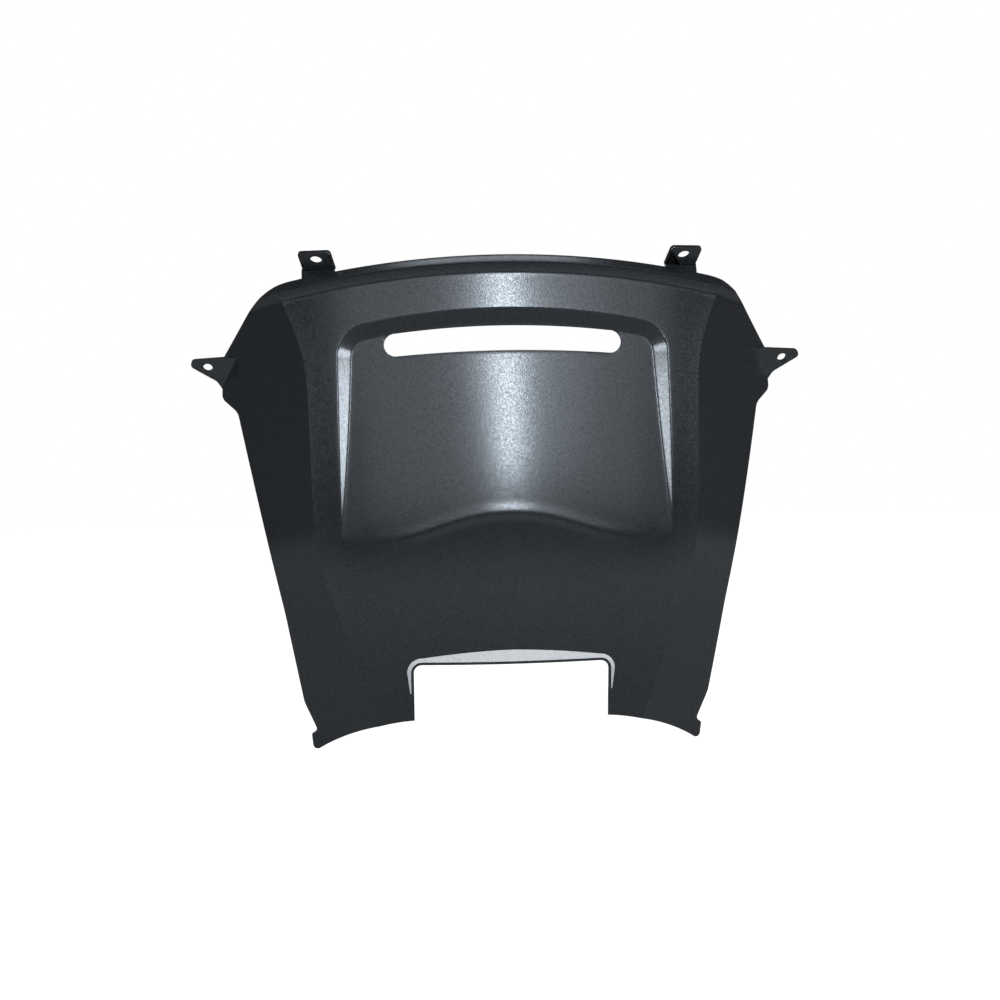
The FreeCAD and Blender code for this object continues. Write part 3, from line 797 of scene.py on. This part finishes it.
def notch_lip():
    """Flared lip round the notch, its section carried along the stations."""
    slant = NOTCH_LIP_WALL / math.sqrt(2)
    right = notch_stations()
    left = [((-p[0], p[1]), (-n[0], n[1]), w, c) for p, n, w, c in right[:0:-1]]
    points = []
    for point, out, width, cut in left + right:
        n = Vector((out[0], 0.0, out[1]))
        back = Vector((0.0, 1.0, 0.0))
        edge = Vector((point[0], 0.0, point[1])) + n * slant
        base = edge + n * width
        free = edge + back * (float(outer_y(base.x, base.z)) - width * NOTCH_LIP_FLARE)
        slope = n + back * NOTCH_LIP_FLARE
        root_front = free + slope * (width + NOTCH_LIP_ROOT)
        inward = (back - n) * slant
        soft = free + slope * NOTCH_LIP_SOFT
        nose = free + inward * NOTCH_LIP_NOSE
        points += [root_front, soft, nose, free + inward, root_front + inward]
    sides = 5
    rows = len(points) // sides
    faces = [tuple(range(sides))[::-1], tuple(range((rows - 1) * sides, rows * sides))]
    for i in range(rows - 1):
        for k in range(sides):
            a, b = i * sides + k, i * sides + (k + 1) % sides
            faces.append((a, b, b + sides, a + sides))
    return add_object("notch_lip", points, faces)


def joined(base, others, operation):
    """Base with the others joined to it or cut from it; the others are then removed."""
    group = bpy.data.collections.new("tools")
    bpy.context.scene.collection.children.link(group)
    for other in others:
        bpy.context.scene.collection.objects.unlink(other)
        group.objects.link(other)
    step = base.modifiers.new(operation.lower(), "BOOLEAN")
    step.operation = operation
    step.operand_type = "COLLECTION"
    step.collection = group
    step.solver = "MANIFOLD"
    graph = bpy.context.evaluated_depsgraph_get()
    mesh = bpy.data.meshes.new_from_object(base.evaluated_get(graph))
    base.modifiers.clear()
    base.data = mesh
    for other in others:
        bpy.data.objects.remove(other)
    bpy.data.collections.remove(group)
    return base


def panel():
    points, faces = skin_mesh()
    made = add_object("panel", points, faces)
    added = [notch_lip(), tab(-1), tab(1)] + ear(-1) + ear(1)
    joined(made, added, "UNION")
    joined(made, [tab_hole(-1), tab_hole(1), ear_hole(-1), ear_hole(1)], "DIFFERENCE")
    made.data.shade_smooth()
    made.data.set_sharp_from_angle(angle=math.radians(SHARP_ANGLE))
    return made


def is_painted_light_face(face):
    """Whether a face of the panel is on the front of the lip round the notch, facing out and forward, where
    light is painted on.
    """
    centre = face.center / MM + ORIGIN
    beside = abs(centre.x) > NOTCH_HALF_WIDTH + RIM_BESIDE
    if beside or not NOTCH_LIP_END_Z < centre.z < NOTCH_TOP_Z + RIM_ABOVE:
        return False
    ahead = float(outer_y(centre.x, centre.z)) - centre.y
    away = face.normal.z if centre.z > NOTCH_TOP_Z else face.normal.x * math.copysign(1.0, centre.x)
    return ahead > RIM_AHEAD and away > RIM_TURN and face.normal.y < -RIM_FACING


def black_plastic():
    """Black moulded plastic with a fine eroded grain."""
    material = bpy.data.materials.new("black_plastic")
    material.use_nodes = True
    nodes, links = material.node_tree.nodes, material.node_tree.links
    shader = nodes["Principled BSDF"]
    place = nodes.new("ShaderNodeTexCoord")

    def noise(scale, detail, rough):
        node = nodes.new("ShaderNodeTexNoise")
        node.inputs["Scale"].default_value = scale
        node.inputs["Detail"].default_value = detail
        node.inputs["Roughness"].default_value = rough
        links.new(place.outputs["Object"], node.inputs["Vector"])
        return node

    def ramp(source, low, high):
        node = nodes.new("ShaderNodeMapRange")
        node.inputs["From Min"].default_value = 0.3
        node.inputs["From Max"].default_value = 0.7
        node.inputs["To Min"].default_value = low
        node.inputs["To Max"].default_value = high
        links.new(source.outputs["Fac"], node.inputs["Value"])
        return node

    sheen = ramp(noise(SHEEN_SCALE, 1.0, 0.5), *SHEEN)
    links.new(sheen.outputs["Result"], shader.inputs["Specular IOR Level"])
    shader.inputs["Specular Tint"].default_value = SHEEN_TINT
    tint = nodes.new("ShaderNodeValToRGB")
    tint.color_ramp.elements[0].color = PLASTIC_DARK
    tint.color_ramp.elements[1].color = PLASTIC_LIGHT
    links.new(noise(PLASTIC_MOTTLE, 3.0, 0.6).outputs["Fac"], tint.inputs["Fac"])
    links.new(tint.outputs["Color"], shader.inputs["Base Color"])
    roughness = ramp(noise(ROUGHNESS_SCALE, 1.0, 0.5), *ROUGHNESS)
    links.new(roughness.outputs["Result"], shader.inputs["Roughness"])
    grain = nodes.new("ShaderNodeBump")
    grain.inputs["Strength"].default_value = GRAIN_STRENGTH
    grain.inputs["Distance"].default_value = GRAIN_HEIGHT
    links.new(noise(GRAIN_SCALE, 2.0, 0.55).outputs["Fac"], grain.inputs["Height"])
    links.new(grain.outputs["Normal"], shader.inputs["Normal"])
    return material


def painted_light_rim():
    """Paler, duller plastic on the front of the notch's lip: painted light, standing in for the light that
    falls there.
    """
    material = bpy.data.materials.new("painted_light_rim")
    material.use_nodes = True
    nodes, links = material.node_tree.nodes, material.node_tree.links
    shader = nodes["Principled BSDF"]
    shader.inputs["Roughness"].default_value = RIM_ROUGHNESS
    place = nodes.new("ShaderNodeTexCoord")
    speckle = nodes.new("ShaderNodeTexNoise")
    speckle.inputs["Scale"].default_value = RIM_SPECKLE
    links.new(place.outputs["Object"], speckle.inputs["Vector"])
    tint = nodes.new("ShaderNodeValToRGB")
    tint.color_ramp.elements[0].color = RIM_DARK
    tint.color_ramp.elements[1].color = RIM_LIGHT
    links.new(speckle.outputs["Fac"], tint.inputs["Fac"])
    links.new(tint.outputs["Color"], shader.inputs["Base Color"])
    return material


def pale_floor():
    """White floor that shows white to the eye and keeps a light shadow."""
    material = bpy.data.materials.new("pale_floor")
    material.use_nodes = True
    nodes, links = material.node_tree.nodes, material.node_tree.links
    nodes.clear()
    matt = nodes.new("ShaderNodeBsdfDiffuse")
    matt.inputs["Color"].default_value = FLOOR_GREY
    glow = nodes.new("ShaderNodeEmission")
    rays = nodes.new("ShaderNodeLightPath")
    seen = nodes.new("ShaderNodeMath")
    seen.operation = "MAXIMUM"
    links.new(rays.outputs["Is Camera Ray"], seen.inputs[0])
    links.new(rays.outputs["Is Transmission Ray"], seen.inputs[1])
    level = nodes.new("ShaderNodeMath")
    level.operation = "MULTIPLY"
    level.inputs[1].default_value = FLOOR_GLOW
    links.new(seen.outputs[0], level.inputs[0])
    links.new(level.outputs[0], glow.inputs["Strength"])
    both = nodes.new("ShaderNodeAddShader")
    links.new(matt.outputs[0], both.inputs[0])
    links.new(glow.outputs[0], both.inputs[1])
    out = nodes.new("ShaderNodeOutputMaterial")
    links.new(both.outputs[0], out.inputs["Surface"])
    return material


def floor():
    half, z = FLOOR_SIZE / 2, cad_box[0].z
    mesh = bpy.data.meshes.new("floor")
    corners = [(-half, -half, z), (half, -half, z), (half, half, z), (-half, half, z)]
    mesh.from_pydata(corners, [], [(0, 1, 2, 3)])
    made = bpy.data.objects.new("floor", mesh)
    bpy.context.scene.collection.objects.link(made)
    made.data.materials.append(pale_floor())


def direction(azimuth, elevation):
    a, e = math.radians(azimuth), math.radians(elevation)
    return Vector((math.sin(a) * math.cos(e), -math.cos(a) * math.cos(e), math.sin(e)))


def camera():
    data = bpy.data.cameras.new("camera")
    data.lens = LENS
    data.shift_x, data.shift_y = SHIFT
    made = bpy.data.objects.new("camera", data)
    away = direction(CAMERA_AZIMUTH, CAMERA_ELEVATION)
    made.location = TARGET + away * CAMERA_DISTANCE
    made.rotation_mode = "QUATERNION"
    turn = Quaternion((0, 0, 1), -math.radians(CAMERA_ROLL))
    made.rotation_quaternion = (-away).to_track_quat("-Z", "Y") @ turn
    bpy.context.scene.collection.objects.link(made)
    bpy.context.scene.camera = made


def softbox(name, azimuth, elevation, distance, width, height, radiance):
    """Area lamp that faces the panel, set by the brightness of its face."""
    data = bpy.data.lights.new(name, "AREA")
    data.shape = "RECTANGLE"
    data.size, data.size_y = width, height
    data.energy = radiance * math.pi * width * height
    made = bpy.data.objects.new(name, data)
    away = direction(azimuth, elevation)
    made.location = TARGET + away * distance
    made.rotation_mode = "QUATERNION"
    made.rotation_quaternion = (-away).to_track_quat("-Z", "Y")
    made.visible_camera = False
    bpy.context.scene.collection.objects.link(made)


def lights():
    """Studio lamps: azimuth, elevation and distance from the panel, width, height and brightness."""
    softbox("front_wide", 4.0, 29.5, 1.3, 1.7, 1.0, 1.05)
    softbox("front_middle", 11.0, 30.0, 1.28, 0.6, 0.7, 1.0)
    softbox("centre_strip", 4.8, 29.0, 1.15, 0.06, 0.58, 38.0)
    softbox("left_side", -59.5, 11.5, 1.2, 0.36, 0.46, 10.5)
    softbox("right_side", 67.0, 11.5, 1.2, 0.36, 0.46, 13.0)
    softbox("overhead", 3.0, 67.0, 1.2, 0.7, 0.25, 4.0)


def surroundings():
    world = bpy.data.worlds.new("studio")
    bpy.context.scene.world = world
    world.use_nodes = True
    nodes, links = world.node_tree.nodes, world.node_tree.links
    back = nodes["Background"]
    back.inputs["Color"].default_value = (1.0, 1.0, 1.0, 1.0)
    rays = nodes.new("ShaderNodeLightPath")
    level = nodes.new("ShaderNodeMapRange")
    level.inputs["To Min"].default_value = WORLD_LEVEL
    level.inputs["To Max"].default_value = 1.0
    links.new(rays.outputs["Is Camera Ray"], level.inputs["Value"])
    links.new(level.outputs["Result"], back.inputs["Strength"])


skin = panel()
skin.data.materials.clear()
skin.data.materials.append(black_plastic())
skin.data.materials.append(painted_light_rim())
# Faces on the lip's front that face out and forward get the paler painted light
for face in skin.data.polygons:
    face.material_index = 1 if is_painted_light_face(face) else 0
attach(skin, "root")
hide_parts("front_panel")

floor()
camera()
lights()
surroundings()
bpy.context.scene.view_settings.view_transform = "Standard"
